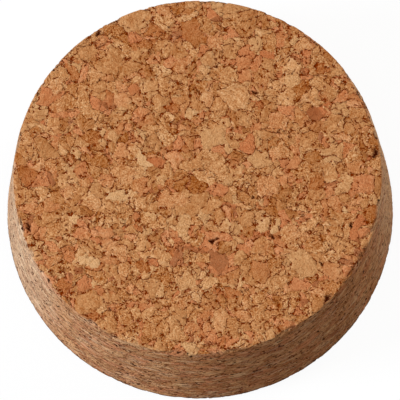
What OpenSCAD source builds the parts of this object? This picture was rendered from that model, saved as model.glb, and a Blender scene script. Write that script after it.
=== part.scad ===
// Tapered disc stopper of agglomerated cork, ground all round, for the mouth of a wide jar.
// It stands on its wide end face. The narrow end goes into the jar first.

/* [Body] */
// Diameter of the wide end face
wide_d = 77; // [50:0.5:150]
// Diameter of the narrow end face
narrow_d = 70; // [46:0.5:146]
// Height from the wide end face to the narrow one
height = 25.4; // [16:0.1:60]
// Radius that the grinding leaves on both rims
rim_r = 0.45; // [0.2:0.05:1.2]

/* [Voids] */
// Half width of the widest voids between the granules
void_r = 0.62; // [0.4:0.02:1]
// Small voids that open on each end face
face_voids = 20; // [0:1:40]
// Small voids that open on the tapered wall
wall_voids = 34; // [0:1:60]
// Solid cork left between a small void and the nearest rim
rim_margin = 2; // [1.5:0.1:5]

/* [Hidden] */
cork = [0.70, 0.46, 0.28];
wide_r = wide_d / 2;
narrow_r = narrow_d / 2;
// Half angle of the taper, positive where the stopper narrows upwards
taper = atan2(wide_r - narrow_r, height);
rim_steps = 6;
body_fn = 180;
void_fn = 24;
golden_angle = 137.508;
golden_ratio = 0.618034;
// A void is a row of pockets, each smaller and further along than the last:
// their radii as shares of the void's half width, and the step between them
deep_pockets = [1, 0.78, 0.5];
small_pockets = [1, 0.7];
pocket_pitch = 0.8;
// Depth of a pocket's centre under the skin, as a share of its radius
pocket_sink = 0.25;
// A small void's half width runs between these shares of void_r
small_void_shares = [0.3, 0.62];

// Open voids and chips of the narrow face: share of the face radius, bearing,
// share of void_r, and the direction in which the void runs
narrow_marks = [
    [0.965, -45, 1.15, 45],
    [0.955, 198, 1.00, 110],
    [0.970, 6, 1.05, 88],
    [0.980, 124, 0.80, 30],
    [0.385, -78, 1.00, 15],
    [0.555, 56, 0.85, 20],
    [0.760, 135, 0.60, 40],
    [0.540, -42, 0.80, 150],
    [0.820, 52, 0.65, 60],
    [0.700, -70, 0.60, 5],
    [0.640, 172, 0.55, 75],
    [0.880, -20, 0.70, 120]
];
// Deep voids of the tapered wall: share of the height, bearing and share of void_r
wall_marks = [
    [0.42, -62, 1.00],
    [0.30, -112, 0.90],
    [0.66, -88, 0.70],
    [0.55, -35, 0.75],
    [0.38, -150, 0.70],
    [0.60, 20, 0.80],
    [0.35, 85, 0.95],
    [0.70, 140, 0.75]
];

// Radius of the wall at a height z
function wall_r(z) = wide_r + (narrow_r - wide_r) * z / height;

// A repeatable number from 0 to 1 for item i of series k
function scatter(i, k) =
    let (v = sin(i * 127.1 + k * 311.7) * 437.585) v - floor(v);

// Points of one rim's arc, about a centre that touches both the face and the wall
function rim_arc(z, from, to) = [
    for (i = [0 : rim_steps])
        let (a = from + (to - from) * i / rim_steps)
        [wall_r(z) - rim_r / cos(taper) + rim_r * cos(a), z + rim_r * sin(a)]
];

// Half of the body's section, from the axis round both rims
module section() {
    polygon(concat(
        [[0, 0]],
        rim_arc(rim_r, -90, taper),
        rim_arc(height - rim_r, taper, 90),
        [[0, height]]
    ));
}

// The ground blank, before its voids
module blank() {
    rotate_extrude($fn = body_fn) section();
}

// One void: pockets in a row along +X, opening on the plane z = 0
module void_row(r, pockets) {
    for (i = [0 : len(pockets) - 1])
        translate([i * pocket_pitch * r, 0, -pocket_sink * pockets[i] * r])
            sphere(r = r * pockets[i], $fn = void_fn);
}

// A void at a distance from the axis, for a face that looks up
module face_void(distance, bearing, r, direction, pockets) {
    rotate([0, 0, bearing])
        translate([distance, 0, 0])
            rotate([0, 0, direction - bearing])
                void_row(r, pockets);
}

// A void at a height on the wall, running along the direction of grinding
module wall_void(z, bearing, r, pockets) {
    rotate([0, 0, bearing])
        translate([wall_r(z), 0, z])
            rotate([0, 90 - taper, 0])
                rotate([0, 0, 90])
                    void_row(r, pockets);
}

// Small voids in a sunflower pattern on a face of this radius
module scattered_face_voids(face_r, series) {
    for (i = [0 : 1 : face_voids - 1])
        face_void(
            (face_r - rim_margin) * sqrt((i + 0.5) / face_voids),
            i * golden_angle + series * 60,
            small_void_r(i, series),
            360 * scatter(i, series + 1),
            small_pockets
        );
}

function small_void_r(i, series) =
    void_r * (small_void_shares[0]
        + (small_void_shares[1] - small_void_shares[0]) * scatter(i, series));

// Small voids spread over the wall
module scattered_wall_voids() {
    for (i = [0 : 1 : wall_voids - 1])
        let (share = i * golden_ratio - floor(i * golden_ratio))
        wall_void(
            rim_margin + (height - 2 * rim_margin) * share,
            360 * i / wall_voids,
            small_void_r(i, 7),
            small_pockets
        );
}

module narrow_face_voids() {
    translate([0, 0, height]) {
        scattered_face_voids(narrow_r, 1);
        for (m = narrow_marks)
            face_void(m[0] * narrow_r, m[1], m[2] * void_r, m[3], deep_pockets);
    }
}

module wide_face_voids() {
    rotate([180, 0, 0]) scattered_face_voids(wide_r, 4);
}

module wall_voids_all() {
    scattered_wall_voids();
    for (m = wall_marks)
        wall_void(m[0] * height, m[1], m[2] * void_r, deep_pockets);
}

module stopper() {
    color(cork)
        difference() {
            blank();
            narrow_face_voids();
            wide_face_voids();
            wall_voids_all();
        }
}

stopper();
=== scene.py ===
"""Dresses the cork stopper: its granule relief, its cork finish, and the studio around it.

The cork is one pattern of pressed granules in space. A geometry node group reads it for the
relief of the mesh, and the material reads it for the colours, so both always agree.
Patterns and meshes are worked out in millimetres, and Blender gets metres.
"""

from __future__ import annotations

import logging
import math
from dataclasses import dataclass, field
from enum import Enum
from typing import Iterable, Union

import bpy
import numpy as np
from mathutils import Matrix, Vector

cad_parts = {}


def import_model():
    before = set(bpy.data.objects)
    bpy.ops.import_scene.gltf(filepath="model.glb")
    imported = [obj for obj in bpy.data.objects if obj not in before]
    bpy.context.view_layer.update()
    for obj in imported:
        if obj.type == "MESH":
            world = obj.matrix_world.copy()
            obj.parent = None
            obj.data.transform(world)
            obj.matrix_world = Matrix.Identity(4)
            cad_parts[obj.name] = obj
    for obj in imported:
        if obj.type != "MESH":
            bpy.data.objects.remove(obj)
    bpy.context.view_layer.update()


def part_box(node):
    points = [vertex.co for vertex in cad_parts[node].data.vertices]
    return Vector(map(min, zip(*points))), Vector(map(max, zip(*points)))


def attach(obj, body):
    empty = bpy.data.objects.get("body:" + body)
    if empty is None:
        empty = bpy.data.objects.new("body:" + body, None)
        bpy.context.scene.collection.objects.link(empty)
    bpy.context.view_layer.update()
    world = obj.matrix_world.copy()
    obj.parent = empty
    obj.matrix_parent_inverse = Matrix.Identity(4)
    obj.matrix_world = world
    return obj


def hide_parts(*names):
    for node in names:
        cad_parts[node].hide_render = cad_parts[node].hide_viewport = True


LOG = logging.getLogger("cork_stopper")
MM = 0.001
GOLDEN_ANGLE = 137.508
GOLDEN_RATIO = 0.618034
LEVEL = (1.0, 1.0, 0.0)
BEYOND_REACH = 9

Triple = tuple[float, float, float]
Rgb = Triple
Span = tuple[float, float]
Operand = Union["Field", Triple, float, int]


def linear(red: int, green: int, blue: int) -> Rgb:
    """Turns a colour as a paint chart gives it, 0 to 255, into the linear values of a shader.

    Args:
        red: The red share.
        green: The green share.
        blue: The blue share.

    Returns:
        The same colour in linear light.
    """

    def channel(value: int) -> float:
        """One share in linear light."""
        # These are the two branches of the sRGB curve.
        share = value / 255
        return share / 12.92 if share <= 0.04045 else ((share + 0.055) / 1.055) ** 2.4

    return channel(red), channel(green), channel(blue)


class Graph:
    """A node tree that is written as Python expressions on its sockets."""

    def __init__(self, tree: bpy.types.NodeTree) -> None:
        """Takes over an empty node tree."""
        self.tree = tree

    def node(
        self, kind: str, settings: dict | None = None, inputs: dict | None = None
    ) -> bpy.types.Node:
        """Adds one node.

        Args:
            kind: The node's type.
            settings: The node's own properties, set first. The stops of a ramp go under "stops".
            inputs: Values or fields for its sockets, by name or place.

        Returns:
            The new node.
        """
        made = self.tree.nodes.new(kind)
        for name, value in (settings or {}).items():
            if name == "stops":
                self._set_stops(made.color_ramp, value)
            else:
                setattr(made, name, value)
        for key, value in (inputs or {}).items():
            socket = made.inputs[key]
            if isinstance(value, Field):
                self.tree.links.new(value.socket, socket)
            elif isinstance(value, bpy.types.NodeSocket):
                self.tree.links.new(value, socket)
            else:
                socket.default_value = value
        return made

    def add(
        self,
        kind: str,
        settings: dict | None = None,
        inputs: dict | None = None,
        output: str | int = 0,
    ) -> Field:
        """Adds one node and returns one of its outputs as a field.

        Args:
            kind: The node's type.
            settings: The node's own properties, set first.
            inputs: Values or fields for its sockets, by name or place.
            output: The name or place of the socket that is wanted.

        Returns:
            The field of that output.
        """
        return Field(self, self.node(kind, settings, inputs).outputs[output])

    @staticmethod
    def _set_stops(ramp: bpy.types.ColorRamp, stops: Iterable[tuple[float, Rgb]]) -> None:
        """Gives a colour ramp its stops.

        Args:
            ramp: The ramp of a new node.
            stops: The place and the colour of each stop.
        """
        stops = list(stops)
        while len(ramp.elements) < len(stops):
            ramp.elements.new(1.0)
        for element, (place, colour) in zip(ramp.elements, stops):
            element.position = place
            element.color = (*colour, 1.0)


class Field:
    """A socket's value over a surface, with arithmetic that adds Math and Vector Math nodes."""

    def __init__(self, graph: Graph, socket: bpy.types.NodeSocket) -> None:
        """Wraps an output socket of a graph."""
        self.graph = graph
        self.socket = socket

    @property
    def is_vector(self) -> bool:
        """Whether the socket holds a vector or a colour."""
        return self.socket.type in ("VECTOR", "RGBA")

    def _math(self, operation: str, *values: Operand, clamp: bool = False) -> Field:
        """Adds a Math node on plain numbers."""
        inputs = dict(enumerate(values))
        return self.graph.add(
            "ShaderNodeMath", {"operation": operation, "use_clamp": clamp}, inputs
        )

    def _vector_math(self, operation: str, *values: Operand) -> Field:
        """Adds a Vector Math node, with plain numbers spread over all three axes.

        Args:
            operation: What the node does.
            values: The values or fields for its sockets, in order.

        Returns:
            The field of its vector.
        """
        inputs = {
            i: (v,) * 3 if isinstance(v, (int, float)) else v
            for i, v in enumerate(values)
        }
        return self.graph.add("ShaderNodeVectorMath", {"operation": operation}, inputs)

    def _either(self, operation: str, left: Operand, right: Operand) -> Field:
        """Picks Math or Vector Math by what the operands hold."""
        vector = any(isinstance(v, Field) and v.is_vector for v in (left, right))
        return (self._vector_math if vector else self._math)(operation, left, right)

    def __add__(self, other: Operand) -> Field:
        """The sum."""
        return self._either("ADD", self, other)

    def __radd__(self, other: Operand) -> Field:
        """The sum with a plain number on the left."""
        return self._either("ADD", other, self)

    def __sub__(self, other: Operand) -> Field:
        """The difference."""
        return self._either("SUBTRACT", self, other)

    def __rsub__(self, other: Operand) -> Field:
        """The difference from a plain number."""
        return self._either("SUBTRACT", other, self)

    def __mul__(self, other: Operand) -> Field:
        """The product."""
        return self._either("MULTIPLY", self, other)

    def __rmul__(self, other: Operand) -> Field:
        """The product with a plain number on the left."""
        return self._either("MULTIPLY", other, self)

    def __truediv__(self, other: Operand) -> Field:
        """The quotient."""
        return self._either("DIVIDE", self, other)

    def stretched(self, by: Triple) -> Field:
        """A vector with each axis scaled on its own."""
        return self.graph.add(
            "ShaderNodeVectorMath", {"operation": "MULTIPLY"}, {0: self, 1: by}
        )

    def dot(self, other: Field | Triple) -> Field:
        """The dot product with another vector."""
        inputs = {0: self, 1: other}
        return self.graph.add(
            "ShaderNodeVectorMath", {"operation": "DOT_PRODUCT"}, inputs, "Value"
        )

    def unit(self) -> Field:
        """The vector at a length of one."""
        return self._vector_math("NORMALIZE", self)

    def length(self) -> Field:
        """The vector's length."""
        return self.graph.add(
            "ShaderNodeVectorMath", {"operation": "LENGTH"}, {0: self}, "Value"
        )

    def parts(self) -> tuple[Field, Field, Field]:
        """The three shares of a vector or colour."""
        split = self.graph.node("ShaderNodeSeparateXYZ", inputs={0: self})
        return tuple(Field(self.graph, s) for s in split.outputs)

    def smaller(self, other: Operand) -> Field:
        """The smaller of two values."""
        return self._math("MINIMUM", self, other)

    def larger(self, other: Operand) -> Field:
        """The larger of two values."""
        return self._math("MAXIMUM", self, other)

    def above(self, limit: Operand) -> Field:
        """One where the value is over a limit, and zero elsewhere."""
        return self._math("GREATER_THAN", self, limit)

    def fraction(self) -> Field:
        """What is left of each axis of a vector after its whole number is taken off."""
        return self._vector_math("FRACTION", self)

    def clamped(self) -> Field:
        """The value held between zero and one."""
        return self._math("ADD", self, 0.0, clamp=True)

    def rise(self, low: Operand, high: Operand) -> Field:
        """Adds a smooth step.

        Args:
            low: Where the step begins, at zero.
            high: Where it ends, at one.

        Returns:
            The field of the step.
        """
        return self.graph.add(
            "ShaderNodeMapRange",
            {"interpolation_type": "SMOOTHSTEP"},
            {"Value": self, "From Min": low, "From Max": high},
        )

    def blend(self, other: Operand, share: Operand) -> Field:
        """This number where share is zero, and the other where it is one."""
        return self + (other - self) * share

    def tinted(self, colour: Field | Rgb, share: Operand) -> Field:
        """This colour, mixed towards another by a share."""
        inputs = {0: share, 6: self, 7: colour if isinstance(colour, Field) else (*colour, 1)}
        return self.graph.add("ShaderNodeMix", {"data_type": "RGBA"}, inputs, 2)


class Noise(Enum):
    """The outputs of a noise: one number, or three as a vector."""

    NUMBER = "Fac"
    VECTOR = "Color"


@dataclass(frozen=True)
class Ripple:
    """How fine a noise is: its waves per mm, and how many finer ones lie on them."""

    per_mm: float
    detail: float = 1.0


@dataclass(frozen=True)
class Form:
    """The ground form, as the construction has it: a tapered disc with rounded rims."""

    wide_r: float
    narrow_r: float
    height: float
    rim_r: float = 0.45

    @classmethod
    def from_frame(cls, narrowing: float = 3.5) -> Form:
        """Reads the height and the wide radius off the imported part.

        Args:
            narrowing: How much smaller than the wide radius the narrow one is, in mm.

        Returns:
            The form in millimetres.
        """
        low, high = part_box("stopper")
        height = (high.z - low.z) / MM
        slope = narrowing / height
        # The rounded rim keeps the widest point a little inside the sharp corner.
        corner = cls.rim_r * (slope + math.hypot(1.0, slope) - 1.0)
        wide = max(high.x, high.y, -low.x, -low.y) / MM + corner
        return cls(wide, wide - narrowing, height)

    @property
    def taper(self) -> float:
        """Half angle of the taper, in radians."""
        return math.atan2(self.wide_r - self.narrow_r, self.height)

    def wall_r(self, z: Operand) -> Operand:
        """Radius of the wall at a height, for a number, an array or a field."""
        return self.wide_r + (z * ((self.narrow_r - self.wide_r) / self.height))

    def rim_centres(self) -> tuple[tuple[float, float], tuple[float, float]]:
        """Finds the middles of the two rims' arcs.

        Returns:
            Radius and height for the narrow rim, and the same for the wide one.
        """
        inset = self.rim_r / math.cos(self.taper)
        high, low = self.height - self.rim_r, self.rim_r
        return (self.wall_r(high) - inset, high), (self.wall_r(low) - inset, low)

    def snap(self, points: np.ndarray) -> tuple[np.ndarray, np.ndarray]:
        """Moves points that lie close to the form onto it.

        Args:
            points: Rows of x, y and z.

        Returns:
            The moved points, and the form's outward normal at each.
        """
        r, z = np.hypot(points[:, 0], points[:, 1]), points[:, 2]
        away = points[:, :2] / np.maximum(r, 1e-9)[:, None]
        upper = z > self.height / 2
        out_r, out_z = math.cos(self.taper), math.sin(self.taper)
        to_wall = (r - self.wall_r(z)) * out_r
        face_z = np.where(upper, self.height, 0.0)
        on_wall = np.abs(to_wall) < np.abs(z - face_z)
        flat_r = np.where(on_wall, r - to_wall * out_r, r)
        flat_z = np.where(on_wall, z - to_wall * out_z, face_z)
        normal_r = np.where(on_wall, out_r, 0.0)
        normal_z = np.where(on_wall, out_z, np.where(upper, 1.0, -1.0))
        for (mid_r, mid_z), half, turn in zip(self.rim_centres(), (upper, ~upper), (1, -1)):
            off_r, off_z = r - mid_r, z - mid_z
            past_wall = (off_z * out_r - off_r * out_z) * turn > 0
            arc = half & (off_r > 0) & past_wall
            angle = np.arctan2(off_z[arc], off_r[arc])
            normal_r[arc], normal_z[arc] = np.cos(angle), np.sin(angle)
            flat_r[arc] = mid_r + self.rim_r * normal_r[arc]
            flat_z[arc] = mid_z + self.rim_r * normal_z[arc]
        moved = np.column_stack([away * flat_r[:, None], flat_z])
        normals = np.column_stack([away * normal_r[:, None], normal_z])
        return moved, normals


@dataclass(frozen=True)
class Chip:
    """A granule of the narrow face that stands out.

    Its middle lies at a share of that face's radius. Its sizes are in mm, and its bearing and
    turn are in degrees.
    """

    share: float
    bearing: float
    length: float
    width: float
    turn: float = 0.0

    def middle(self, form: Form) -> Triple:
        """Its middle on the narrow face, in mm."""
        out, way = self.share * form.narrow_r, math.radians(self.bearing)
        return out * math.cos(way), out * math.sin(way), form.height


@dataclass(frozen=True)
class ChipGroup:
    """Chips that share their random numbers, and so their colour."""

    own: Triple
    chips: tuple[Chip, ...]


@dataclass(frozen=True)
class Granules:
    """Space cut into granules: each one's random numbers and middle, and how far its border is."""

    own: Operand
    middle: Field
    border: Field

    def hidden_by(self, larger: Granules, where: Field) -> Granules:
        """These granules, with larger ones in their place where a mask is one.

        Args:
            larger: The granules of the larger size.
            where: One where the larger granules show, and zero elsewhere.

        Returns:
            The mixed granules.
        """
        return Granules(
            self.own.blend(larger.own, where),
            self.middle.blend(larger.middle, where),
            larger.border.smaller(self.border + where * BEYOND_REACH),
        )


@dataclass(frozen=True)
class Cork:
    """The fields of the cork at a point, which colour and relief are made from."""

    tone: Field
    hue: Field
    seam: Field
    tilt: Field
    crack: Field
    crease: Field
    speck: Field
    lines: Field
    mottle: Field
    grain: Field
    streak: Field
    fleck: Field
    side: Field
    # The next three fields: a pale tint with painted light and painted sheen, painted shade, and a
    # painted contact shadow.
    pale_and_painted_light: Field
    painted_shade_side: Field
    painted_contact_shade: Field
    relief: Field


@dataclass(frozen=True)
class Cracks:
    """The cracks between granules, the creases in them and the pits. Sizes in mm."""

    opening: Ripple = Ripple(1.15, 1.5)
    ragged: Ripple = Ripple(3.1)
    tight: float = 0.478
    raggedness: float = 0.60
    widest: float = 0.13
    soft_edge: float = 0.05
    depth: float = 0.14
    shut_on_wall: float = 0.45
    shoulder: float = 0.26
    seam_span: Span = (0.30, 0.60)
    fold: Ripple = Ripple(0.8)
    fold_shift: float = 9.0
    fold_sharpness: float = 900.0
    crease_span: Span = (0.40, 0.52)
    pit_spacing: float = 0.9
    pit_chance: float = 0.78
    pit_size: float = 0.90
    pit_growth_on_wall: float = 0.8
    pit_raggedness: float = 0.3
    pit_edge: float = 0.06
    pit_depth: float = 0.26


@dataclass(frozen=True)
class Bark:
    """The lines, the mottling and the grain inside the granules."""

    hue: Ripple = Ripple(0.16)
    hue_drift: float = 0.6
    reshuffle: float = 7.31
    lines: Ripple = Ripple(1.0, 2.0)
    line_length: float = 0.45
    line_spacing: float = 1.5
    line_shift: float = 40.0
    mottle: Ripple = Ripple(1.2, 2.0)
    grain: Ripple = Ripple(3.8, 0.8)
    grain_least: float = 0.8
    grain_spread: float = 0.7
    rough_span: Span = (0.2, 0.9)
    tone_height: float = 0.07
    dome_height: float = 0.045
    grain_height: float = 0.05


@dataclass(frozen=True)
class WallFace:
    """The wall's streaks and flecks from the grinding, its pale streaks and pale tint, the painted
    light and painted sheen on two stretches, the painted shade on a third, and the painted contact
    shadow along its foot.
    """

    ends: Span = (0.12, 0.55)
    skin: Span = (0.45, 0.95)
    streaks: Ripple = Ripple(1.0, 2.0)
    streak_stretch: Triple = (0.22, 0.22, 1.4)
    streak_height: float = 0.10
    flecks: Ripple = Ripple(1.0)
    fleck_stretch: Triple = (0.95, 0.95, 2.5)
    fleck_span: Span = (0.622, 0.636)
    fleck_depth: float = 0.05
    # Painted light: the wall turns paler towards this bearing, which is the key lamp's.
    painted_light_way: Triple = (-0.970, -0.242, 0.0)
    painted_light_near: Span = (0.84, 1.0)
    painted_light_near_share: float = 0.41
    painted_light_far: Span = (0.2, 0.95)
    painted_light_far_share: float = 0.07
    # Painted sheen: a paler stretch of the wall towards this bearing.
    painted_sheen_way: Triple = (0.978, 0.208, 0.0)
    painted_sheen_span: Span = (0.76, 1.0)
    painted_sheen_share: float = 0.30
    pale_streaks: Span = (0.34, 0.50)
    pale_streak_share: float = 0.30
    pale_all: float = 0.08
    # Painted shade: the wall turns darker and browner towards this bearing.
    painted_shade_way: Triple = (0.643, -0.766, 0.0)
    painted_shade_span: Span = (0.6, 1.0)
    painted_shade_share: float = 0.20
    # Painted contact shadow: the wall darkens along its foot, next to the floor.
    painted_contact_shade_up: Span = (0.3, 1.5)
    painted_contact_shade_in: Span = (0.5, 1.0)


@dataclass(frozen=True)
class Wear:
    """How far the wall is out of true, and how the two rims have crumbled. Sizes in mm."""

    wave: Ripple = Ripple(0.13)
    wave_reach: float = 2.0
    wave_depth: float = 0.14
    weak: Ripple = Ripple(0.33)
    weakness: float = 1.6
    strength: float = 1.3
    suddenness: float = 1.8
    rim_in: Span = (0.2, 1.0)
    rim_down: Span = (0.2, 1.1)
    rim_depth: float = 0.62
    foot_in: Span = (0.1, 0.7)
    foot_up: Span = (0.1, 0.8)
    foot_depth: float = 0.16


@dataclass(frozen=True)
class CorkPattern:
    """Granules of three sizes, pressed flat and bonded, and ground through. Sizes in mm."""

    form: Form
    cracks: Cracks = Cracks()
    bark: Bark = Bark()
    wall: WallFace = WallFace()
    wear: Wear = Wear()
    coarse: float = 4.0
    middle: float = 2.6
    crumb: float = 1.7
    whole_coarse: float = 0.84
    whole_middle: float = 0.30
    pressing: float = 2.1
    bend: float = 3.4
    bend_ripple: Ripple = Ripple(0.26)
    crumple: float = 0.75
    crumple_ripple: Ripple = Ripple(1.1)
    fine_crumple: float = 0.22
    fine_ripple: Ripple = Ripple(3.4, 0.0)
    jag: float = 0.6
    chip_depth: float = 2.0
    chips: tuple[ChipGroup, ...] = (
        ChipGroup(
            (0.63, 1.012, 0.10),
            (
                Chip(0.30, 165, 3.6, 2.0, -60),
                Chip(0.45, 195, 4.6, 2.2, -5),
                Chip(0.75, 220, 4.4, 2.2, -10),
                Chip(0.70, 200, 2.2, 1.9),
            ),
        ),
        ChipGroup(
            (0.36, 0.84, 0.12),
            (
                Chip(0.20, 190, 2.4, 2.2),
                Chip(0.50, 155, 2.2, 2.0),
                Chip(0.30, 255, 3.2, 3.4),
                Chip(0.60, 265, 4.6, 3.4, 10),
                Chip(0.45, 320, 3.6, 2.6, 30),
                Chip(0.75, 45, 2.8, 3.0),
                Chip(0.80, -5, 4.2, 3.0, 30),
            ),
        ),
        ChipGroup(
            (0.77, 0.00, 0.68),
            (
                Chip(0.45, 250, 2.4, 2.2),
                Chip(0.60, 240, 2.4, 2.0),
                Chip(0.95, 220, 2.8, 2.2, -40),
                Chip(0.60, 160, 3.4, 3.2),
                Chip(0.40, 110, 2.8, 2.2),
                Chip(0.65, -5, 3.6, 3.0, 40),
                Chip(0.90, 40, 2.4, 2.0),
                Chip(0.95, 235, 3.0, 1.8, -15),
            ),
        ),
        ChipGroup(
            (0.22, 0.82, 0.66),
            (
                Chip(0.40, 180, 5.0, 4.2),
                Chip(0.20, 225, 6.4, 3.2),
                Chip(0.40, -10, 4.4, 3.6),
                Chip(0.60, 325, 4.4, 3.4),
            ),
        ),
    )

    def noise(
        self,
        graph: Graph,
        place: Field,
        ripple: Ripple,
        kind: Noise = Noise.NUMBER,
    ) -> Field:
        """Adds a noise.

        Args:
            graph: The graph to add to.
            place: Where to look, in mm.
            ripple: How fine the noise is.
            kind: Whether one number or a vector is wanted.

        Returns:
            The noise, from 0 to 1.
        """
        inputs = {"Vector": place, "Scale": ripple.per_mm, "Detail": ripple.detail}
        return graph.add("ShaderNodeTexNoise", {}, inputs, kind.value)

    def pushed(self, graph: Graph, place: Field, ripple: Ripple, reach: float) -> Field:
        """How far a noise pushes a place about, as a vector in mm."""
        return (self.noise(graph, place, ripple, Noise.VECTOR) - 0.5) * reach

    def granules(self, graph: Graph, place: Field, size: float) -> Granules:
        """Cuts space into granules of one size.

        Args:
            graph: The graph to add to.
            place: Where to look, in mm.
            size: Width of a granule, in mm.

        Returns:
            The granules.
        """
        inputs = {"Vector": place, "Scale": 1 / size}
        cell = graph.node("ShaderNodeTexVoronoi", {"feature": "F1"}, inputs)
        border = graph.add(
            "ShaderNodeTexVoronoi", {"feature": "DISTANCE_TO_EDGE"}, inputs, "Distance"
        )
        own = Field(graph, cell.outputs["Color"])
        return Granules(own, Field(graph, cell.outputs["Position"]), border * size)

    def placed(self, place: Field, bent: Field, group: ChipGroup) -> tuple[Granules, Field]:
        """Lays a group of chips.

        Args:
            place: Where to look, in mm.
            bent: The same place among the bent granules.
            group: The chips, none of which overlaps another.

        Returns:
            The chips as granules, and a mask that is one on them.
        """
        reach = None
        for chip in group.chips:
            centre = chip.middle(self.form)
            turned = place.graph.add(
                "ShaderNodeVectorRotate",
                {"rotation_type": "Z_AXIS"},
                {"Vector": place, "Center": centre, "Angle": -math.radians(chip.turn)},
            )
            spread = (2 / chip.length, 2 / chip.width, 1 / self.chip_depth)
            inside = (1 - (turned - centre).stretched(spread).length()) * (chip.width / 2)
            reach = reach.larger(inside) if reach else inside
        return Granules(group.own, bent, reach.larger(0 - reach)), reach.above(0)

    def build(self, graph: Graph, place_m: Field) -> Cork:
        """Adds the whole pattern to a graph.

        Args:
            graph: The graph of a material or of a geometry node group.
            place_m: The point on the stopper, in metres.

        Returns:
            The cork's fields there.
        """
        cracks, bark, wall = self.cracks, self.bark, self.wall
        place = place_m * (1 / MM)
        z = place.parts()[2]
        inside = self.form.wall_r(z) - place.stretched(LEVEL).length()
        side = self._side(z, inside)
        pressed = place.stretched((1.0, 1.0, self.pressing))
        mixed, bent = self._mixed(graph, place, pressed)
        tone, hue = mixed.own.parts()[1:]
        hue = hue + (self.noise(graph, place, bark.hue) - 0.5) * bark.hue_drift
        dome = mixed.border.rise(0.0, cracks.shoulder)
        other = (mixed.own * bark.reshuffle).fraction()
        tilt = (bent - mixed.middle).dot(other - 0.5)

        opening = self.noise(graph, pressed, cracks.opening)
        ragged = self.noise(graph, pressed, cracks.ragged) - 0.5
        seam = (1 - dome) * opening.rise(*cracks.seam_span)
        width = (opening - cracks.tight + ragged * cracks.raggedness).smaller(cracks.widest)
        crack = ((width - mixed.border) / cracks.soft_edge).clamped()
        fold = self.noise(graph, bent + mixed.own * cracks.fold_shift, cracks.fold) - 0.5
        folded = (1 - fold * fold * cracks.fold_sharpness).clamped()
        crease = folded * opening.rise(*cracks.crease_span)
        speck = self._specks(graph, bent, side, ragged)

        axis = (mixed.own - 0.5).unit()
        along = axis * bent.dot(axis) * bark.line_spacing
        flow = bent * bark.line_length + along + mixed.own * bark.line_shift
        lines = self.noise(graph, flow, bark.lines)
        mottle = self.noise(graph, bent, bark.mottle)
        rough = other.parts()[0].rise(*bark.rough_span)
        grainy = rough * bark.grain_spread + bark.grain_least
        grain = 0.5 + (self.noise(graph, pressed, bark.grain) - 0.5) * grainy

        streak = self.noise(graph, place.stretched(wall.streak_stretch), wall.streaks)
        fleck = self.noise(graph, place.stretched(wall.fleck_stretch), wall.flecks)
        fleck = fleck.rise(*wall.fleck_span) * side
        around = place.stretched(LEVEL).unit()
        # A pale tint and pale streaks, with painted light and painted sheen on two stretches of
        # the wall.
        pale_and_painted_light = self._pale_and_painted_light(around, streak) * side
        # Painted shade: the wall darker and browner towards one bearing.
        painted_shade_side = around.dot(wall.painted_shade_way).rise(*wall.painted_shade_span) * wall.painted_shade_share
        # Painted contact shadow: darker along the foot of the wall, next to the floor.
        painted_contact_shade = (1 - z.rise(*wall.painted_contact_shade_up)) * (1 - inside.rise(*wall.painted_contact_shade_in))

        relief = (
            (tone - 0.5) * dome * bark.tone_height
            + dome * bark.dome_height
            + (grain - 0.5) * bark.grain_height
            + (streak - 0.5) * wall.streak_height * side
            - fleck * wall.fleck_depth
            - crack * cracks.depth * (1 - side * cracks.shut_on_wall)
            - speck * cracks.pit_depth
            - self._worn(graph, place, z, inside, hue)
        )
        return Cork(
            tone, hue, seam, tilt, crack, crease, speck, lines, mottle, grain, streak, fleck,
            side, pale_and_painted_light, painted_shade_side, painted_contact_shade, relief
        )

    def _mixed(self, graph: Graph, place: Field, pressed: Field) -> tuple[Granules, Field]:
        """Mixes the granules of all sizes, with the chips that have places of their own.

        Args:
            graph: The graph to add to.
            place: The point in mm.
            pressed: The same point before the cork was pressed.

        Returns:
            The granules, and the point among them after they were bent.
        """
        crumple = (
            self.pushed(graph, pressed, self.crumple_ripple, self.crumple)
            + self.pushed(graph, pressed, self.fine_ripple, self.fine_crumple)
        )
        bent = pressed + crumple + self.pushed(graph, pressed, self.bend_ripple, self.bend)
        crumbs = self.granules(graph, bent, self.crumb)
        middling = self.granules(graph, bent, self.middle)
        coarse = self.granules(graph, bent, self.coarse)
        mixed = crumbs.hidden_by(middling, middling.own.parts()[0].above(self.whole_middle))
        mixed = mixed.hidden_by(coarse, coarse.own.parts()[0].above(self.whole_coarse))
        jag = (crumbs.middle - bent).stretched((self.jag, self.jag, self.jag / self.pressing))
        ragged_place = place + jag + crumple
        for group in self.chips:
            mixed = mixed.hidden_by(*self.placed(ragged_place, bent, group))
        return mixed, bent

    def _specks(self, graph: Graph, bent: Field, side: Field, ragged: Field) -> Field:
        """The small pits.

        Args:
            graph: The graph to add to.
            bent: The point among the bent granules.
            side: One on the wall, where the pits are larger.
            ragged: A noise that makes their edges uneven.

        Returns:
            One in a pit, and zero elsewhere.
        """
        cracks = self.cracks
        spots = {"Vector": bent, "Scale": 1 / cracks.pit_spacing}
        spot = graph.add("ShaderNodeTexVoronoi", {"feature": "F1"}, spots) * cracks.pit_spacing
        chance = graph.add("ShaderNodeTexVoronoi", {"feature": "F1"}, spots, "Color").parts()[0]
        growth = side * cracks.pit_growth_on_wall + 1
        reach = (chance - cracks.pit_chance) * cracks.pit_size * growth
        reach = reach + ragged * cracks.pit_raggedness
        return ((reach - spot) / cracks.pit_edge).clamped()

    def _pale_and_painted_light(self, around: Field, streak: Field) -> Field:
        """How pale the wall is: painted light and painted sheen towards two bearings, pale
        streaks, and a pale tint over all of it.

        Args:
            around: The level direction out from the axis.
            streak: The noise of the streaks.

        Returns:
            The share of the pale colour, which partly is painted light and painted sheen.
        """
        wall = self.wall
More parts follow.
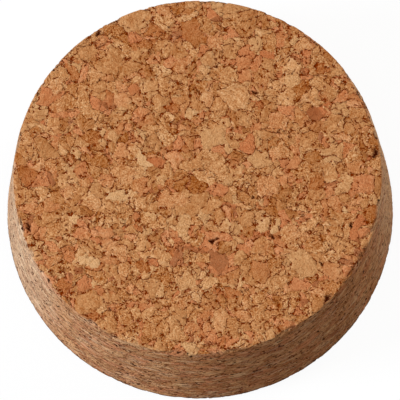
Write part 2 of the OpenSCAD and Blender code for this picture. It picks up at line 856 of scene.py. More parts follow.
        # Painted light: paler towards the key lamp's bearing.
        toward_painted_light = around.dot(wall.painted_light_way)
        # Painted sheen: paler towards a second bearing.
        painted_sheen = around.dot(wall.painted_sheen_way).rise(*wall.painted_sheen_span)
        pale_streak = 1 - streak.rise(*wall.pale_streaks)
        return (
            toward_painted_light.rise(*wall.painted_light_near) * wall.painted_light_near_share
            + toward_painted_light.rise(*wall.painted_light_far) * wall.painted_light_far_share
            + painted_sheen * wall.painted_sheen_share
            + pale_streak * wall.pale_streak_share
            + wall.pale_all
        )

    def _worn(
        self, graph: Graph, place: Field, z: Field, inside: Field, chance: Field
    ) -> Field:
        """How far the wall is out of true and the rims are crumbled, in mm.

        Args:
            graph: The graph to add to.
            place: The point in mm.
            z: Its height.
            inside: How far it is inside the wall.
            chance: A number of each granule's own, for whether it has broken off.

        Returns:
            The depth that is worn away.
        """
        wear = self.wear
        wave = self.noise(graph, place, wear.wave) * (1 - inside.rise(0.0, wear.wave_reach))
        weak = self.noise(graph, place, wear.weak)
        broken = (chance + weak * wear.weakness - wear.strength) * wear.suddenness
        broken = broken.clamped()
        past_rim = inside.rise(*wear.rim_in).larger((self.form.height - z).rise(*wear.rim_down))
        past_foot = inside.rise(*wear.foot_in).larger(z.rise(*wear.foot_up))
        return (
            wave * wear.wave_depth
            + broken * (1 - past_rim) * wear.rim_depth
            + broken * (1 - past_foot) * wear.foot_depth
        )

    def _side(self, z: Field, inside: Field) -> Field:
        """One on the ground wall, and zero on the two end faces."""
        from_ends = z.smaller(self.form.height - z)
        return from_ends.rise(*self.wall.ends) * (1 - inside.rise(*self.wall.skin))


@dataclass(frozen=True)
class Shading:
    """How far each trait of the cork moves its tone along the scale of tones, with painted shade
    along granule borders and in creases.
    """

    base: float = 0.626
    tone_cap: float = 0.90
    tone: float = 0.45
    tone_even: float = 0.3
    tone_steep: float = 2.8
    calmer_wall: float = 0.1
    bright_span: Span = (0.985, 1.02)
    bright: float = 0.24
    seam: float = 0.11
    crease: float = 0.18
    mottle: float = 0.24
    grain: float = 0.80
    seam_grain: float = 0.8
    lines: float = 0.66

    def place(self, cork: Cork) -> Field:
        """Places the cork on the scale of tones.

        Args:
            cork: The cork's fields.

        Returns:
            The place, from 0 for the darkest to 1 for the palest.
        """
        off = cork.tone.smaller(self.tone_cap) - 0.5
        uneven = off * (self.tone_even + off * off * self.tone_steep)
        return (
            uneven * (1 - cork.side * self.calmer_wall) * self.tone
            + cork.tone.rise(*self.bright_span) * self.bright
            # Painted shade in the band along granule borders, where the domed granules dip.
            - cork.seam * self.seam
            # Painted shade in the creases.
            - cork.crease * self.crease
            + (cork.mottle - 0.5) * self.mottle
            + (cork.grain - 0.5) * (cork.seam * self.seam_grain + self.grain)
            + (cork.lines - 0.5) * self.lines
            + self.base
        )


@dataclass(frozen=True)
class FineRelief:
    """Heights in mm of the relief that is too fine for the mesh, so only the shading has it."""

    grain: float = 0.19
    seam: float = 0.05
    granule: float = 0.08
    tilt: float = 0.32
    lines: float = 0.04
    crack: float = 0.13
    crease: float = 0.05
    speck: float = 0.12

    def height(self, cork: Cork) -> Field:
        """Adds up the fine relief.

        Args:
            cork: The cork's fields.

        Returns:
            Its height in mm.
        """
        return (
            (cork.grain - 0.5) * self.grain
            - cork.seam * self.seam
            + cork.hue * self.granule
            + cork.tilt * self.tilt
            + (cork.lines - 0.5) * self.lines
            - cork.crack * self.crack
            - cork.crease * self.crease
            - cork.speck * self.speck
        )


@dataclass(frozen=True)
class CorkFinish:
    """The matt finish of ground agglomerated cork."""

    pattern: CorkPattern
    shading: Shading = Shading()
    fine: FineRelief = FineRelief()
    tones: tuple[tuple[float, Rgb], ...] = (
        (0.00, linear(122, 48, 0)),
        (0.17, linear(140, 68, 14)),
        (0.33, linear(160, 92, 40)),
        (0.50, linear(179, 115, 66)),
        (0.63, linear(190, 129, 79)),
        (0.73, linear(201, 142, 92)),
        (0.84, linear(212, 156, 105)),
        (1.00, linear(224, 174, 126)),
    )
    red_tint: Rgb = linear(201, 117, 75)
    straw_tint: Rgb = linear(207, 158, 108)
    # Pale colour of the wall, which also carries its painted light and painted sheen.
    pale_and_painted_light_tint: Rgb = linear(217, 185, 150)
    # Colour of the flecks, also used for the painted contact shadow.
    fleck_and_painted_shade_colour: Rgb = linear(52, 14, 0)
    # Painted shade in the voids.
    painted_void_shade_colour: Rgb = linear(92, 34, 8)
    # Dark binder and pores in the cracks and pits, with painted shade in them.
    crack_and_painted_shade_colour: Rgb = linear(126, 44, 0)
    # Colour of bark granules and dark streaks, also used for the painted shade on the wall.
    bark_and_painted_shade_colour: Rgb = linear(130, 72, 38)
    red_span: Span = (0.50, 1.0)
    red_share: float = 0.56
    straw_span: Span = (0.0, 0.42)
    straw_tone: Span = (0.6, 1.0)
    straw_least: float = 0.14
    straw_spread: float = 0.4
    bark_from: float = 1.0
    bark_share: float = 0.5
    dark_streaks: Span = (0.42, 0.66)
    dark_streak_share: float = 0.21
    fleck_share: float = 0.95
    # Strength of the painted contact shadow along the foot of the wall.
    painted_contact_shade_share: float = 0.6
    shut_on_wall: float = 0.6
    roughness: float = 0.45
    gloss: float = 0.002

    def material(self) -> bpy.types.Material:
        """Builds the material.

        Returns:
            The finished material.
        """
        made = bpy.data.materials.new("ground_cork")
        made.use_nodes = True
        made.node_tree.nodes.clear()
        graph = Graph(made.node_tree)
        place = graph.add("ShaderNodeTexCoord", output="Object")
        cork = self.pattern.build(graph, place)
        colour = self._colour(graph, cork)
        bump = graph.add(
            "ShaderNodeBump",
            inputs={"Height": self.fine.height(cork), "Distance": MM, "Strength": 1.0},
        )
        shader = graph.node(
            "ShaderNodeBsdfPrincipled",
            inputs={
                "Base Color": colour,
                "Roughness": self.roughness,
                "Specular IOR Level": self.gloss,
                "Normal": bump,
            },
        )
        graph.node("ShaderNodeOutputMaterial", inputs={"Surface": shader.outputs[0]})
        return made

    def _colour(self, graph: Graph, cork: Cork) -> Field:
        """Colours each granule, with its lines, grain, cracks and specks, and paints light, sheen
        and shade on the wall and shade in the cracks, pits and voids.

        Args:
            graph: The graph of the material.
            cork: The cork's fields.

        Returns:
            The colour.
        """
        tone = {"Fac": self.shading.place(cork)}
        colour = graph.add("ShaderNodeValToRGB", {"stops": self.tones}, tone, "Color")
        colour = colour.tinted(self.red_tint, cork.hue.rise(*self.red_span) * self.red_share)
        paler = cork.tone.rise(*self.straw_tone) * self.straw_spread + self.straw_least
        colour = colour.tinted(self.straw_tint, (1 - cork.hue.rise(*self.straw_span)) * paler)
        colour = colour.tinted(self.bark_and_painted_shade_colour, cork.hue.above(self.bark_from) * self.bark_share)
        # Pale tint of the wall, with painted light and painted sheen.
        colour = colour.tinted(self.pale_and_painted_light_tint, cork.pale_and_painted_light)
        dark_streak = cork.streak.rise(*self.dark_streaks) * self.dark_streak_share
        # Dark streaks, and painted shade on one stretch of the wall.
        colour = colour.tinted(self.bark_and_painted_shade_colour, cork.side * (dark_streak + cork.painted_shade_side))
        # Flecks, and a painted contact shadow along the foot of the wall.
        flecks_and_painted_shade = (cork.fleck * self.fleck_share).larger(cork.painted_contact_shade * self.painted_contact_shade_share)
        colour = colour.tinted(self.fleck_and_painted_shade_colour, flecks_and_painted_shade)
        # Cracks and pits: their dark binder and pores, with painted shade in them.
        open_seam = (cork.crack * (1 - cork.side * self.shut_on_wall)).larger(cork.speck)
        colour = colour.tinted(self.crack_and_painted_shade_colour, open_seam)
        # Painted shade in the voids, darker where they are deeper.
        painted_void_shade = graph.add("ShaderNodeAttribute", {"attribute_name": "painted_void_shade"}, output="Fac")
        return colour.tinted(self.painted_void_shade_colour, painted_void_shade)


class ReliefProbe:
    """Reads the pattern's relief at points, through a geometry node group."""

    ATTRIBUTE = "relief"

    def __init__(self, pattern: CorkPattern) -> None:
        """Builds the node group once.

        Args:
            pattern: The cork that is read.
        """
        tree = bpy.data.node_groups.new("cork_relief", "GeometryNodeTree")
        tree.interface.new_socket("Points", in_out="INPUT", socket_type="NodeSocketGeometry")
        tree.interface.new_socket("Points", in_out="OUTPUT", socket_type="NodeSocketGeometry")
        graph = Graph(tree)
        source = graph.node("NodeGroupInput")
        cork = pattern.build(graph, graph.add("GeometryNodeInputPosition"))
        stored = graph.node(
            "GeometryNodeStoreNamedAttribute",
            {"data_type": "FLOAT", "domain": "POINT"},
            {"Geometry": source.outputs[0], "Name": self.ATTRIBUTE, "Value": cork.relief},
        )
        graph.node("NodeGroupOutput", inputs={0: stored.outputs[0]})
        self.tree = tree

    def read(self, points: np.ndarray) -> np.ndarray:
        """The relief at points of the ground form.

        Args:
            points: Rows of x, y and z in mm.

        Returns:
            The height of the skin over the ground form at each, in mm.
        """
        mesh = bpy.data.meshes.new("probe")
        mesh.vertices.add(len(points))
        mesh.vertices.foreach_set("co", (points * MM).astype(np.float32).ravel())
        probe = bpy.data.objects.new("probe", mesh)
        bpy.context.scene.collection.objects.link(probe)
        probe.modifiers.new("relief", "NODES").node_group = self.tree
        bpy.context.view_layer.update()
        shown = probe.evaluated_get(bpy.context.evaluated_depsgraph_get())
        values = np.zeros(len(points), np.float32)
        shown.data.attributes[self.ATTRIBUTE].data.foreach_get("value", values)
        bpy.data.objects.remove(probe)
        bpy.data.meshes.remove(mesh)
        return values.astype(float)


@dataclass
class Voids:
    """The open voids between granules. Sizes in mm.

    They lie where the construction has them, but for the first on the narrow face, which is set
    further out so that it breaks the rim.
    """

    form: Form
    void_r: float = 0.62
    on_each_face: int = 20
    on_wall: int = 34
    rim_margin: float = 2.0
    sink: float = 0.25
    pitch: float = 0.8
    uneven: float = 0.20
    uneven_waves: Span = (4.6, 3.7)
    squeeze: float = 1.5
    deep: tuple[float, ...] = (1.0, 0.78, 0.5)
    small: tuple[float, ...] = (1.0, 0.7)
    small_shares: Span = (0.3, 0.62)
    series_turn: float = 60.0
    narrow_marks: tuple[tuple[float, float, float, float], ...] = (
        (0.985, -46, 1.15, 45),
        (0.955, 198, 1.00, 110),
        (0.970, 6, 1.05, 88),
        (0.980, 124, 0.80, 30),
        (0.385, -78, 1.00, 15),
        (0.555, 56, 0.85, 20),
        (0.760, 135, 0.60, 40),
        (0.540, -42, 0.80, 150),
        (0.820, 52, 0.65, 60),
        (0.700, -70, 0.60, 5),
        (0.640, 172, 0.55, 75),
        (0.880, -20, 0.70, 120),
    )
    wall_marks: tuple[tuple[float, float, float], ...] = (
        (0.42, -62, 1.00),
        (0.30, -112, 0.90),
        (0.66, -88, 0.70),
        (0.55, -35, 0.75),
        (0.38, -150, 0.70),
        (0.60, 20, 0.80),
        (0.35, 85, 0.95),
        (0.70, 140, 0.75),
    )

    def pockets(self) -> np.ndarray:
        """Lists the pockets of all voids.

        Returns:
            Rows of x, y and z on the form, a radius, and the way that the void runs.
        """
        rows: list[tuple[float, ...]] = []
        for share, bearing, size, way in self.narrow_marks:
            rows += self._on_face(
                share * self.form.narrow_r, bearing, size * self.void_r, way, self.deep, True
            )
        for share, bearing, size in self.wall_marks:
            rows += self._on_wall(share * self.form.height, bearing, size * self.void_r, self.deep)
        for series, face_r, up in ((1, self.form.narrow_r, True), (4, self.form.wide_r, False)):
            for i in range(self.on_each_face):
                rows += self._on_face(
                    (face_r - self.rim_margin) * math.sqrt((i + 0.5) / self.on_each_face),
                    i * GOLDEN_ANGLE + series * self.series_turn,
                    self._small_r(i, series),
                    360 * self._scatter(i, series + 1),
                    self.small,
                    up,
                )
        for i in range(self.on_wall):
            share = i * GOLDEN_RATIO % 1
            z = self.rim_margin + (self.form.height - 2 * self.rim_margin) * share
            rows += self._on_wall(z, 360 * i / self.on_wall, self._small_r(i, 7), self.small)
        return np.array(rows)

    def depth(self, points: np.ndarray) -> np.ndarray:
        """Measures the voids.

        Args:
            points: Rows of x, y and z in mm, on the ground form.

        Returns:
            How deep the voids are under each point, in mm.
        """
        deep = np.zeros(len(points))
        first, second = self.uneven_waves
        sway = np.sin(points[:, [1, 2, 0]] * first + points[:, [2, 0, 1]] * second)
        points = points + self.uneven * sway
        for row in self.pockets():
            middle, r, way = row[:3], row[3], row[4:]
            near = np.flatnonzero((np.abs(points - middle) < r).all(1))
            if len(near):
                off = points[near] - middle
                along = off @ way
                across = (off**2).sum(1) - along**2
                share = (along**2 + across * self.squeeze**2) / r**2
                bowl = r * (np.sqrt(np.clip(1 - share, 0, 1)) + self.sink * (share < 1))
                deep[near] = np.maximum(deep[near], bowl)
        return deep

    @staticmethod
    def _scatter(i: int, series: int) -> float:
        """A repeatable number from 0 to 1, the same one as in the construction."""
        step, leap, spread = 127.1, 311.7, 437.585
        value = math.sin(math.radians(i * step + series * leap)) * spread
        return value - math.floor(value)

    def _small_r(self, i: int, series: int) -> float:
        """Half width of a small void."""
        low, high = self.small_shares
        return self.void_r * (low + (high - low) * self._scatter(i, series))

    def _on_face(
        self,
        distance: float,
        bearing: float,
        r: float,
        way: float,
        pockets: tuple[float, ...],
        up: bool,
    ) -> list[tuple[float, ...]]:
        """Lists the pockets of one void on an end face. The wide face is turned over about X.

        Args:
            distance: How far the first pocket is from the axis, in mm.
            bearing: Its bearing, in degrees.
            r: The largest pocket's radius, in mm.
            way: The bearing that the row of pockets runs to, in degrees.
            pockets: The size of each pocket, as a share of the largest.
            up: Whether the face is the narrow one, on top.

        Returns:
            A row for each pocket.
        """
        a, w = math.radians(bearing), math.radians(way)
        flip = 1 if up else -1
        rows = []
        for i, share in enumerate(pockets):
            step = i * self.pitch * r
            x = distance * math.cos(a) + step * math.cos(w)
            y = distance * math.sin(a) + step * math.sin(w)
            z = self.form.height if up else 0.0
            rows.append((x, flip * y, z, r * share, math.cos(w), flip * math.sin(w), 0.0))
        return rows

    def _on_wall(
        self, z: float, bearing: float, r: float, pockets: tuple[float, ...]
    ) -> list[tuple[float, ...]]:
        """Lists the pockets of one void on the wall, in a row along the grinding.

        Args:
            z: The void's height, in mm.
            bearing: The first pocket's bearing, in degrees.
            r: The largest pocket's radius, in mm.
            pockets: The size of each pocket, as a share of the largest.

        Returns:
            A row for each pocket.
        """
        a = math.radians(bearing)
        rows = []
        for i, share in enumerate(pockets):
            step = i * self.pitch * r
            wall = self.form.wall_r(z)
            x = wall * math.cos(a) - step * math.sin(a)
            y = wall * math.sin(a) + step * math.cos(a)
            rows.append((x, y, z, r * share, -math.sin(a), math.cos(a), 0.0))
        return rows


@dataclass
class Skin:
    """A closed net of triangles on the ground form, finer where the relief is steep."""

    form: Form
    points: np.ndarray = field(default_factory=lambda: np.zeros((0, 3)))
    faces: np.ndarray = field(default_factory=lambda: np.zeros((0, 3), int))

    def lay_rings(self, narrow_step: float, wall_step: float, wide_step: float) -> None:
        """Lays rings of points from the narrow pole to the wide one and joins them.

        Args:
            narrow_step: Spacing on the narrow face, in mm.
            wall_step: Spacing on the wall, in mm.
            wide_step: Spacing on the wide face, in mm.
        """
        rings = self._stations(narrow_step, wall_step, wide_step)
        counts = [max(6, round(2 * math.pi * r / step)) if r > 0 else 1 for r, _, step in rings]
        starts = np.concatenate([[0], np.cumsum(counts)[:-1]])
        rows = []
        for k, ((r, z, _), count) in enumerate(zip(rings, counts)):
            angles = 2 * math.pi * (np.arange(count) + 0.5 * (k % 2)) / count
            rows.append(
                np.column_stack([r * np.cos(angles), r * np.sin(angles), np.full(count, z)])
            )
        self.points = np.vstack(rows)
        faces: list[tuple[int, int, int]] = []
        for k in range(len(rings) - 1):
            faces += self._joined(
                (starts[k], counts[k], 0.5 * (k % 2)),
                (starts[k + 1], counts[k + 1], 0.5 * ((k + 1) % 2)),
            )
        self.faces = np.array(faces)

    def _stations(
        self, narrow_step: float, wall_step: float, wide_step: float
    ) -> list[tuple[float, float, float]]:
        """Walks along the section of the form, from the narrow face to the wide one.

        Args:
            narrow_step: Spacing on the narrow face, in mm.
            wall_step: Spacing on the wall, in mm.
            wide_step: Spacing on the wide face, in mm.

        Returns:
            Radius, height and spacing of each ring.
        """
        form = self.form
        (top_r, top_z), (low_r, low_z) = form.rim_centres()
        taper, rim = form.taper, form.rim_r
        arc_steps = 3
        rings = [
            (float(r), form.height, narrow_step)
            for r in np.linspace(0, top_r, round(top_r / narrow_step) + 1)
        ]
        for a in np.linspace(math.pi / 2, taper, arc_steps + 1)[1:]:
            rings.append((top_r + rim * math.cos(a), top_z + rim * math.sin(a), narrow_step))
        high = (top_r + rim * math.cos(taper), top_z + rim * math.sin(taper))
        low = (low_r + rim * math.cos(taper), low_z + rim * math.sin(taper))
        steps = round((high[1] - low[1]) / math.cos(taper) / wall_step)
        for t in np.linspace(0, 1, steps + 1)[1:]:
            r, z = high[0] + (low[0] - high[0]) * t, high[1] + (low[1] - high[1]) * t
            rings.append((r, z, wall_step))
        for a in np.linspace(taper, -math.pi / 2, arc_steps + 1)[1:]:
            rings.append((low_r + rim * math.cos(a), low_z + rim * math.sin(a), wall_step))
        for r in np.linspace(low_r, 0, round(low_r / wide_step) + 1)[1:]:
            rings.append((float(r), 0.0, wide_step))
        return rings

    @staticmethod
    def _joined(
        inner: tuple[int, int, float], outer: tuple[int, int, float]
    ) -> list[tuple[int, int, int]]:
        """Joins two rings, given as first point, count and share of a step turned.

        Args:
            inner: The ring that comes first.
            outer: The ring that comes next.

        Returns:
            The triangles between them.
        """
        (a, n, a_turn), (b, m, b_turn) = inner, outer
        if n == 1:
            return [(a, b + j, b + (j + 1) % m) for j in range(m)]
        if m == 1:
            return [(a + i, b, a + (i + 1) % n) for i in range(n)]
        faces = []
        i = j = 0
        while i < n or j < m:
            next_a, next_b = (i + 1 + a_turn) / n, (j + 1 + b_turn) / m
            if j >= m or (i < n and next_a <= next_b):
                faces.append((a + i % n, b + j % m, a + (i + 1) % n))
                i += 1
            else:
                faces.append((a + i % n, b + j % m, b + (j + 1) % m))
                j += 1
        return faces

    def edges(self) -> tuple[np.ndarray, np.ndarray]:
        """Finds the edges of the net.

        Returns:
            The two ends of each edge, and the three edges of each face.
        """
        pairs = np.sort(self.faces[:, [0, 1, 1, 2, 2, 0]].reshape(-1, 2), axis=1)
        key = pairs[:, 0] * (len(self.points) + 1) + pairs[:, 1]
        _, first, back = np.unique(key, return_index=True, return_inverse=True)
        return pairs[first], back.reshape(-1, 3)

    def split(self, chosen: np.ndarray, edges: np.ndarray, of_face: np.ndarray) -> None:
        """Cuts the chosen edges at their middles, and each face to suit.

        Args:
            chosen: Whether each edge is cut.
            edges: The edges' ends.
            of_face: The three edges of each face.
        """
        middles = self.points[edges[chosen]].mean(1)
        name = np.full(len(edges), -1)
        name[chosen] = len(self.points) + np.arange(int(chosen.sum()))
        self.points = np.vstack([self.points, self.form.snap(middles)[0]])
        cut = name[of_face]
        count = (cut >= 0).sum(1)
        made = [self.faces[count == 0]]
        for turn in range(3):
            f, c = np.roll(self.faces, -turn, 1), np.roll(cut, -turn, 1)
            one = (count == 1) & (c[:, 0] >= 0)
            made.append(np.column_stack([f[one, 0], c[one, 0], f[one, 2]]))
            made.append(np.column_stack([c[one, 0], f[one, 1], f[one, 2]]))
            two = (count == 2) & (c[:, 2] < 0)
            made.append(np.column_stack([f[two, 1], c[two, 1], c[two, 0]]))
            made.append(np.column_stack([f[two, 0], c[two, 0], c[two, 1]]))
            made.append(np.column_stack([f[two, 0], c[two, 1], f[two, 2]]))
        f, c = self.faces[count == 3], cut[count == 3]
        made.append(np.column_stack([f[:, 0], c[:, 0], c[:, 2]]))
        made.append(np.column_stack([f[:, 1], c[:, 1], c[:, 0]]))
        made.append(np.column_stack([f[:, 2], c[:, 2], c[:, 1]]))
        made.append(c)
        self.faces = np.vstack(made)


@dataclass
class Stopper:
    """The stopper's own mesh: the ground form, its voids and its granule relief."""

    form: Form
    pattern: CorkPattern
    steps: Triple = (0.62, 0.80, 1.0)
    rounds: int = 3
    most_faces: int = 194_000
    shortest: Triple = (0.20, 0.26, 0.40)
    worth: Triple = (1.0, 0.6, 0.35)
    slope_worth: float = 0.25
    least_miss: float = 0.012
    narrow_zone: float = 1.0
    crest: float = 0.07
    # The depth, as a share of a void's radius, at which the voids' painted shade is full.
    full_shade: float = 0.35
    probe: ReliefProbe = field(init=False)
    voids: Voids = field(init=False)

    def __post_init__(self) -> None:
        """Prepares the voids and the reading of the relief."""
        self.probe = ReliefProbe(self.pattern)
        self.voids = Voids(self.form)

    def build(self, finish: CorkFinish) -> bpy.types.Object:
        """Makes the mesh and dresses it.

        Args:
            finish: The finish of the cork.

        Returns:
            The finished piece.
        """
        skin = Skin(self.form)
        skin.lay_rings(*self.steps)
        for _ in range(self.rounds):
            self._refine(skin)
        height, deep = self._heights(skin.points)
        placed, normals = self.form.snap(skin.points)
        placed = placed + normals * height[:, None]
        placed[:, 2] = np.clip(placed[:, 2], 0.0, self.form.height)
        mesh = bpy.data.meshes.new("cork_stopper")
        mesh.from_pydata((placed * MM).tolist(), [], skin.faces.tolist())
        mesh.polygons.foreach_set("use_smooth", np.ones(len(mesh.polygons), bool))
        # Painted shade in the voids: the deeper the void under a point, the darker.
        painted_void_shade = mesh.attributes.new("painted_void_shade", "FLOAT", "POINT")
        shade = np.clip(deep / (self.full_shade * self.voids.void_r), 0, 1)
        painted_void_shade.data.foreach_set("value", shade.astype(np.float32))
        self._unwrap(mesh, skin)
        mesh.update()
        piece = bpy.data.objects.new("cork_stopper", mesh)
        bpy.context.scene.collection.objects.link(piece)
        mesh.materials.append(finish.material())
        LOG.info("cork_stopper: %d triangles", len(skin.faces))
        return piece

    def _unwrap(self, mesh: bpy.types.Mesh, skin: Skin) -> None:
        """Lays the faces flat: the two discs, and under them the wall in two strips.

        Args:
            mesh: The mesh that gets the layout.
            skin: The net that the mesh was made from, before its relief.
        """
        form, gap, wide_scale = self.form, 1.5, 0.66
        narrow, wide = form.narrow_r, form.wide_r * wide_scale
        strip = form.height + 2 * form.rim_r + gap
        page = 2 * (narrow + strip + gap)
        corners = skin.points[skin.faces]
        middle = corners.mean(1)
        turn = np.arctan2(middle[:, 1], middle[:, 0])[:, None]
        back = turn < 0
        x, y, z = np.moveaxis(corners, 2, 0)
        upper = np.where(z > form.height / 2, 1, -1)
        down = form.height - z - upper * (form.wall_r(z) - np.hypot(x, y)) + form.rim_r
        ahead = np.arctan2(y, x) - turn
        ahead -= 2 * math.pi * np.round(ahead / (2 * math.pi))
        u = gap + (turn + ahead + math.pi * back) * (form.narrow_r + form.wide_r) / 2
        v = page - gap - down - strip * back
        flat = np.ptp(z, axis=1)[:, None] < 1e-6
        top, low = flat & (upper > 0), flat & (upper < 0)
        disc = 2 * narrow + gap
        u = np.where(top, gap + narrow + x, np.where(low, page - gap - wide + x * wide_scale, u))
        v = np.where(top, disc - narrow + y, np.where(low, disc - wide - y * wide_scale, v))
        layer = mesh.uv_layers.new(name="OFBake")
        layer.data.foreach_set("uv", (np.stack([u, v], 2) / page).astype(np.float32).ravel())

    def _heights(self, points: np.ndarray) -> tuple[np.ndarray, np.ndarray]:
        """Works out the skin, which is nowhere above the form.

        Args:
            points: Rows of x, y and z in mm, on the ground form.

        Returns:
            The skin's height over the form at each, and how deep the voids are there.
        """
        deep = self.voids.depth(points)
        return np.minimum(self.probe.read(points) - self.crest, 0.0) - deep, deep

    def _refine(self, skin: Skin) -> None:
        """Cuts the edges that miss the relief by most, within the limit on triangles.

        Args:
            skin: The net that is made finer.
        """
        edges, of_face = skin.edges()
        ends = skin.points[edges]
        middles = skin.form.snap(ends.mean(1))[0]
        height = self._heights(skin.points)[0]
        miss = np.abs(self._heights(middles)[0] - height[edges].mean(1))
        miss += self.slope_worth * np.abs(height[edges[:, 0]] - height[edges[:, 1]])
        length = np.linalg.norm(ends[:, 0] - ends[:, 1], axis=1)
        z, rim = middles[:, 2], self.form.rim_r
        on_wide, on_narrow = z < rim, z > self.form.height - rim
        near_narrow = z > self.form.height - self.narrow_zone
        shortest = np.select([on_wide, on_narrow], self.shortest[::-2], self.shortest[1])
        worth = miss * np.select([on_wide, near_narrow], self.worth[::-2], self.worth[1])
        worth = worth * (length > shortest * 2)
        room = (self.most_faces - len(skin.faces)) // 2
        if room <= 0:
            return
        most_worth = np.sort(worth)[::-1]
        limit = max(self.least_miss, float(most_worth[min(room, len(worth) - 1)]))
        skin.split(worth > limit, edges, of_face)


@dataclass
class Lamp:
    """A soft lamp that looks at the stopper."""

    name: str
    bearing: float
    elevation: float
    distance: float
    size: float
    power: float
    colour: Rgb

    def hang(self, target: Vector) -> None:
        """Adds the lamp to the scene.

        Args:
            target: The point that it looks at.
        """
        data = bpy.data.lights.new(self.name, "AREA")
        data.shape, data.size, data.energy = "DISK", self.size, self.power
        data.color = self.colour
        a, e = math.radians(self.bearing), math.radians(self.elevation)
        way = Vector((math.cos(a) * math.cos(e), math.sin(a) * math.cos(e), math.sin(e)))
        lamp = bpy.data.objects.new(self.name, data)
        lamp.location = target + way * self.distance
        lamp.rotation_mode = "QUATERNION"
        lamp.rotation_quaternion = way.to_track_quat("Z", "Y")
        bpy.context.scene.collection.objects.link(lamp)


class Sight:
    """Which rays see a surface itself, rather than carry its light to other things."""

    def __init__(self, graph: Graph) -> None:
        """Adds the node that knows the kind of a ray.

        Args:
            graph: The graph of a material or of the world.
        """
        path = graph.node("ShaderNodeLightPath")
        self.by_gloss = Field(graph, path.outputs["Is Glossy Ray"])
        by_camera = Field(graph, path.outputs["Is Camera Ray"])
        through_glass = Field(graph, path.outputs["Is Transmission Ray"])
        self.direct = by_camera.larger(self.by_gloss).larger(through_glass)


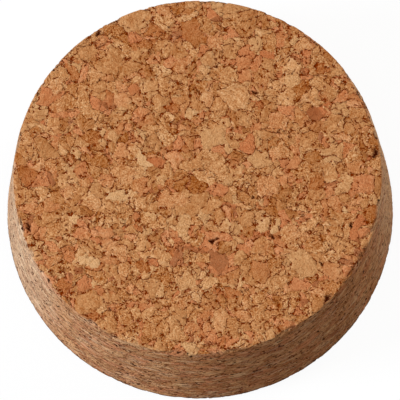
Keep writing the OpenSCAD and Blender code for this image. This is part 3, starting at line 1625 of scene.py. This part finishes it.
@dataclass
class Studio:
    """A pale floor, soft lamps and the camera that looks down on the stopper."""

    form: Form
    lamps: tuple[Lamp, ...] = (
        Lamp("key", 192, 23, 0.9, 0.30, 8.3, (0.90, 1.0, 1.16)),
        Lamp("overhead", -80, 81, 1.0, 0.8, 3.7, (1.0, 0.98, 0.93)),
        Lamp("far_right", 46, 22, 0.9, 0.4, 4.2, (1.0, 0.98, 0.94)),
    )
    sky: float = 0.20
    sky_colour: tuple[float, float, float, float] = (1.0, 0.95, 0.86, 1.0)
    floor_colour: Rgb = (0.60, 0.60, 0.60)
    shadow: float = 0.08
    distance_mm: float = 473.2
    bearing: float = -86.4
    elevation: float = 74.32
    roll: float = -4.09
    aim_across_mm: float = 0.15
    aim_near_mm: float = 5.18
    lens: float = 225.6
    sensor: float = 36.0
    clip: Span = (0.01, 10.0)
    floor_half: float = 3.0
    floor_drop: float = 0.00005

    def build(self) -> None:
        """Adds floor, world, lamps and camera."""
        self._camera()
        self._floor()
        self._world()
        target = Vector((0, 0, self.form.height * MM / 2))
        for lamp in self.lamps:
            lamp.hang(target)
        bpy.context.scene.view_settings.view_transform = "Standard"

    def _camera(self) -> None:
        """Sets the camera at its distance and elevation, rolled a little."""
        b, e = math.radians(self.bearing), math.radians(self.elevation)
        roll = math.radians(self.roll)
        near = Vector((math.cos(b), math.sin(b), 0))
        right = Vector((-math.sin(b), math.cos(b), 0))
        back = near * math.cos(e) + Vector((0, 0, math.sin(e)))
        up = back.cross(right)
        across = right * math.cos(roll) + up * math.sin(roll)
        upward = up * math.cos(roll) - right * math.sin(roll)
        aim = near * self.aim_near_mm + right * self.aim_across_mm
        aim = (aim + Vector((0, 0, self.form.height))) * MM
        data = bpy.data.cameras.new("camera")
        data.lens, data.sensor_width = self.lens, self.sensor
        data.clip_start, data.clip_end = self.clip
        camera = bpy.data.objects.new("camera", data)
        turn = Matrix((across, upward, back)).transposed()
        stand = Matrix.Translation(aim + back * self.distance_mm * MM)
        camera.matrix_world = stand @ turn.to_4x4()
        bpy.context.scene.collection.objects.link(camera)
        bpy.context.scene.camera = camera

    def _floor(self) -> None:
        """Adds a wide floor that looks white to the camera and keeps the shadow."""
        half = self.floor_half
        mesh = bpy.data.meshes.new("floor")
        corners = [(-half, -half, 0), (half, -half, 0), (half, half, 0), (-half, half, 0)]
        mesh.from_pydata(corners, [], [(0, 1, 2, 3)])
        floor = bpy.data.objects.new("floor", mesh)
        floor.location.z = -self.floor_drop
        bpy.context.scene.collection.objects.link(floor)
        made = bpy.data.materials.new("pale_floor")
        made.use_nodes = True
        made.node_tree.nodes.clear()
        graph = Graph(made.node_tree)
        sight = Sight(graph)
        plain = graph.node("ShaderNodeBsdfDiffuse", inputs={"Color": (*self.floor_colour, 1)})
        paper = graph.node("ShaderNodeBsdfDiffuse", inputs={"Color": (1, 1, 1, 1)})
        white = graph.node("ShaderNodeEmission", inputs={"Color": (1, 1, 1, 1), "Strength": 1.0})
        shown = graph.node(
            "ShaderNodeMixShader",
            inputs={
                0: sight.by_gloss.larger(self.shadow),
                1: white.outputs[0],
                2: paper.outputs[0],
            },
        )
        mixed = graph.node(
            "ShaderNodeMixShader",
            inputs={0: sight.direct, 1: plain.outputs[0], 2: shown.outputs[0]},
        )
        graph.node("ShaderNodeOutputMaterial", inputs={"Surface": mixed.outputs[0]})
        mesh.materials.append(made)

    def _world(self) -> None:
        """Sets a plain sky that the camera sees as white."""
        world = bpy.data.worlds.new("sky")
        bpy.context.scene.world = world
        world.use_nodes = True
        world.node_tree.nodes.clear()
        graph = Graph(world.node_tree)
        dim = graph.node(
            "ShaderNodeBackground", inputs={"Color": self.sky_colour, "Strength": self.sky}
        )
        white = graph.node("ShaderNodeBackground", inputs={"Color": (1, 1, 1, 1), "Strength": 1.0})
        mixed = graph.node(
            "ShaderNodeMixShader",
            inputs={0: Sight(graph).direct, 1: dim.outputs[0], 2: white.outputs[0]},
        )
        graph.node("ShaderNodeOutputWorld", inputs={"Surface": mixed.outputs[0]})


def main() -> None:
    """Builds the studio, then the stopper, and writes how large it is."""
    logging.basicConfig(level=logging.INFO, format="%(name)s: %(message)s")
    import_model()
    form = Form.from_frame()
    Studio(form).build()
    pattern = CorkPattern(form)
    piece = Stopper(form, pattern).build(CorkFinish(pattern))
    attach(piece, "root")
    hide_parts("stopper")
    LOG.info("%s rides on root and stands for stopper", piece.name)


if __name__ == "__main__":
    main()
